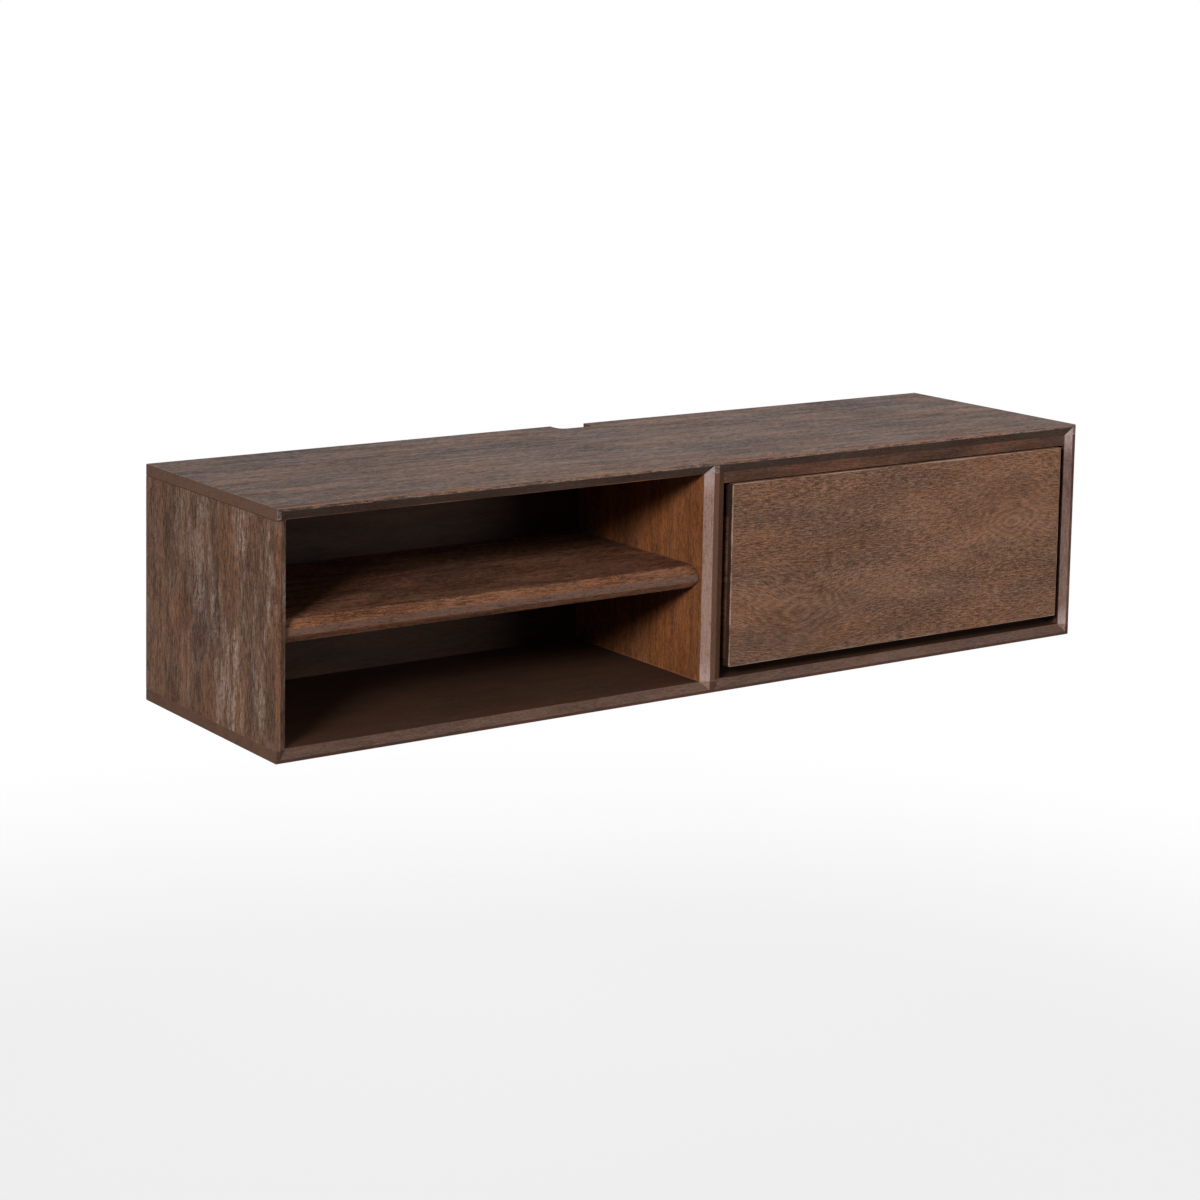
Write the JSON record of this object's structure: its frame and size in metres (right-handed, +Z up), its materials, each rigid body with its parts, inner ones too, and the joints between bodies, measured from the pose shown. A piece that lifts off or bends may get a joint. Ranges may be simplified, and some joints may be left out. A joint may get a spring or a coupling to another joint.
{
  "type": "floating media console",
  "caption": "Wall-hung media console in stained wood with an open shelved bay, a handle-less drawer on telescopic runners and a bevelled front frame.",
  "frame": {"origin": "middle of the wall cleat's rear face, which lies on the wall", "axes": "+X to the right as the user faces the console, +Y into the wall (the front faces -Y), +Z up"},
  "size_m": [1.5, 0.4, 0.355],
  "materials": {
    "top_wood": "greyish brown stain under a thin satin lacquer, long straight grain",
    "frame_wood": "warm brown stain with grey weathered streaks and worn, paler edges",
    "inner_wood": "dark warm brown stain, satin",
    "panel_wood": "dark brown stain over swirling figure, satin, edges worn orange",
    "plain_wood": "plain planed wood, thin clear coat",
    "zinc_steel": "bright zinc plated rolled steel",
    "black_plastic": "matt moulded plastic"
  },
  "bodies": {
    "carcass": {"top_board": "top_wood", "bottom_board": "frame_wood", "side_left": "frame_wood", "side_right": "frame_wood", "divider": "inner_wood", "back_panel": "inner_wood", "shelf": "panel_wood", "drawer_bay_rail": "frame_wood", "hanging_rail_left": "plain_wood", "hanging_rail_right": "plain_wood", "lower_rear_rail": "plain_wood", "wall_cleat": "plain_wood", "dowel_left_top_front": "plain_wood", "dowel_left_top_rear": "plain_wood", "dowel_left_bottom_front": "plain_wood", "dowel_left_bottom_rear": "plain_wood", "dowel_divider_top_front": "plain_wood", "dowel_divider_top_rear": "plain_wood", "dowel_divider_bottom_front": "plain_wood", "dowel_divider_bottom_rear": "plain_wood", "dowel_right_top_front": "plain_wood", "dowel_right_top_rear": "plain_wood", "dowel_right_bottom_front": "plain_wood", "dowel_right_bottom_rear": "plain_wood", "dowel_shelf_left_front": "plain_wood", "dowel_shelf_left_rear": "plain_wood", "dowel_shelf_right_front": "plain_wood", "dowel_shelf_right_rear": "plain_wood", "runner_left_cabinet_member": "zinc_steel", "runner_left_buffer": "black_plastic", "runner_right_cabinet_member": "zinc_steel", "runner_right_buffer": "black_plastic"},
    "drawer": {"drawer_front": "panel_wood", "drawer_side_left": "inner_wood", "drawer_side_right": "inner_wood", "drawer_back": "inner_wood", "drawer_bottom": "plain_wood", "runner_left_drawer_member": "zinc_steel", "runner_right_drawer_member": "zinc_steel", "runner_left_release_lever": "black_plastic", "runner_right_release_lever": "black_plastic"},
    "left_middle_member": {"runner_left_middle_member": "zinc_steel"},
    "right_middle_member": {"runner_right_middle_member": "zinc_steel"},
    "left_outer_cage": {"runner_left_outer_cage": "zinc_steel"},
    "right_outer_cage": {"runner_right_outer_cage": "zinc_steel"},
    "left_inner_cage": {"runner_left_inner_cage": "zinc_steel"},
    "right_inner_cage": {"runner_right_inner_cage": "zinc_steel"}
  },
  "joints": [
    {"name": "drawer_slide", "type": "slide", "parent": "carcass", "child": "drawer", "axis": [0, -1, 0], "range_m": [0, 0.29]},
    {"name": "left_middle_slide", "type": "slide", "parent": "carcass", "child": "left_middle_member", "axis": [0, -1, 0], "range_m": [0, 0.145]},
    {"name": "right_middle_slide", "type": "slide", "parent": "carcass", "child": "right_middle_member", "axis": [0, -1, 0], "range_m": [0, 0.145]},
    {"name": "left_outer_cage_slide", "type": "slide", "parent": "carcass", "child": "left_outer_cage", "axis": [0, -1, 0], "range_m": [0, 0.0725]},
    {"name": "right_outer_cage_slide", "type": "slide", "parent": "carcass", "child": "right_outer_cage", "axis": [0, -1, 0], "range_m": [0, 0.0725]},
    {"name": "left_inner_cage_slide", "type": "slide", "parent": "carcass", "child": "left_inner_cage", "axis": [0, -1, 0], "range_m": [0, 0.2175]},
    {"name": "right_inner_cage_slide", "type": "slide", "parent": "carcass", "child": "right_inner_cage", "axis": [0, -1, 0], "range_m": [0, 0.2175]}
  ],
  "couplings": [
    {"joint": "left_middle_slide", "follows": "drawer_slide", "ratio": 0.5},
    {"joint": "right_middle_slide", "follows": "drawer_slide", "ratio": 0.5},
    {"joint": "left_outer_cage_slide", "follows": "drawer_slide", "ratio": 0.25},
    {"joint": "right_outer_cage_slide", "follows": "drawer_slide", "ratio": 0.25},
    {"joint": "left_inner_cage_slide", "follows": "drawer_slide", "ratio": 0.75},
    {"joint": "right_inner_cage_slide", "follows": "drawer_slide", "ratio": 0.75}
  ]
}
